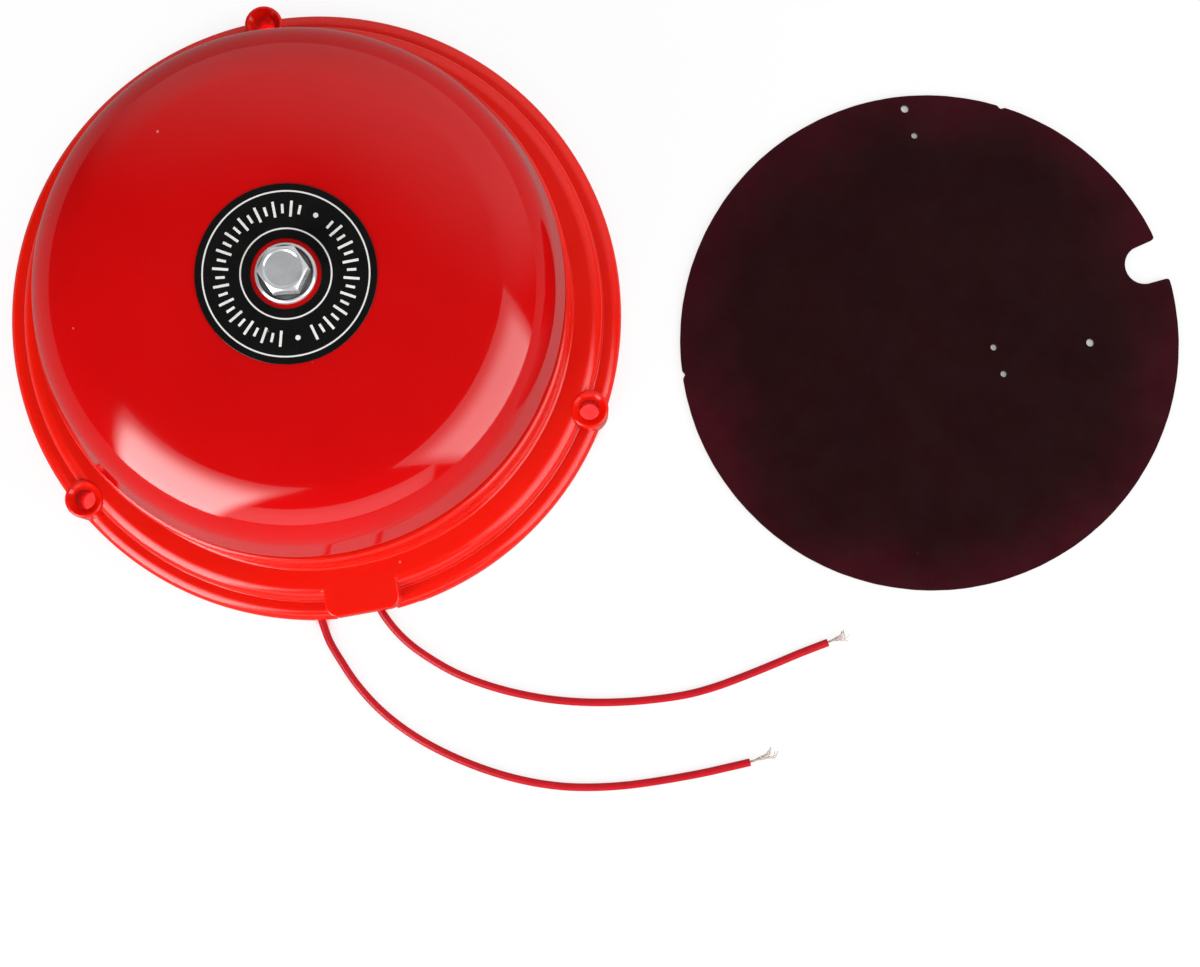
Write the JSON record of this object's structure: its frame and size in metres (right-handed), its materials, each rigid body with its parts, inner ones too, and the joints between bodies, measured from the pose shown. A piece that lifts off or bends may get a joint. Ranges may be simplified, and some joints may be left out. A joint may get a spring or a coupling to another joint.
{
  "type": "fire alarm bell",
  "caption": "Electric alarm bell lying on its back: red steel gong over a moulded housing with screw ears, magnet striker inside, lead wires, and its insulating back plate beside it.",
  "frame": {"origin": "on the bell's axis, in the plane of the housing's back rim, which is the wall face", "axes": "+Z along the bell's axis from the wall face towards the gong's bolt; +X towards the loose back plate"},
  "size_m": [0.2334, 0.1516, 0.0586],
  "materials": {
    "housing_plastic": "moulded orange-red plastic, semi-gloss",
    "gong_paint": "deep red gloss enamel on pressed steel",
    "label_film": "black printed film with plain pale ring lines",
    "bolt_plating": "bright plated steel",
    "zinc_steel": "zinc plated steel",
    "chassis_steel": "passivated sheet steel",
    "spring_steel": "bare spring steel",
    "soft_iron": "plain soft iron",
    "brass": "turned brass",
    "winding_copper": "enamelled copper wire; brass stands in for copper",
    "tinned_copper": "bare stranded tinned copper; brass stands in for copper",
    "fibre": "vulcanised fibre",
    "bobbin_nylon": "moulded nylon",
    "coil_tape": "polyester insulating tape",
    "sleeving": "heat-shrink sleeving",
    "lead_insulation": "red PVC insulation",
    "black_board": "dark red-black insulating board with a dull sheen"
  },
  "bodies": {
    "bell": {"base": "housing_plastic", "gong": "gong_paint", "gong_label": "label_film", "gong_bolt": "bolt_plating", "gong_pillar": "zinc_steel", "gong_washer": "fibre", "pillar_washer": "zinc_steel", "pillar_nut": "zinc_steel", "chassis": "chassis_steel", "chassis_screw_1": "zinc_steel", "chassis_screw_2": "zinc_steel", "magnet_core": "soft_iron", "core_screw": "zinc_steel", "coil_bobbin": "bobbin_nylon", "coil_winding": "winding_copper", "coil_tape": "coil_tape", "clamp_plate": "chassis_steel", "clamp_screw_1": "zinc_steel", "clamp_screw_2": "zinc_steel", "sleeve_a": "sleeving", "sleeve_b": "sleeving", "inner_lead_a": "lead_insulation", "inner_lead_b": "lead_insulation", "lead_a": "lead_insulation", "lead_b": "lead_insulation", "lead_a_strands": "tinned_copper", "lead_b_strands": "tinned_copper"},
    "hammer": {"armature": "soft_iron", "armature_spring": "spring_steel", "rod_block": "brass", "armature_rivet_1": "brass", "armature_rivet_2": "brass", "hammer_rod": "zinc_steel", "hammer_head": "brass"},
    "back_plate": {"back_plate": "black_board"}
  },
  "joints": [
    {"name": "hammer_swing", "type": "hinge", "parent": "bell", "child": "hammer", "pos_m": [0.02852, 0.018, 0.0201], "axis": [0, 1, 0], "range_deg": [-2, 4.5], "stiffness_Nm_per_rad": 0.2, "deforming": ["armature_spring"]},
    {"name": "back_plate_lift", "type": "slide", "parent": "bell", "child": "back_plate", "axis": [0, 0, 1], "range_m": [0, 0.08]}
  ]
}
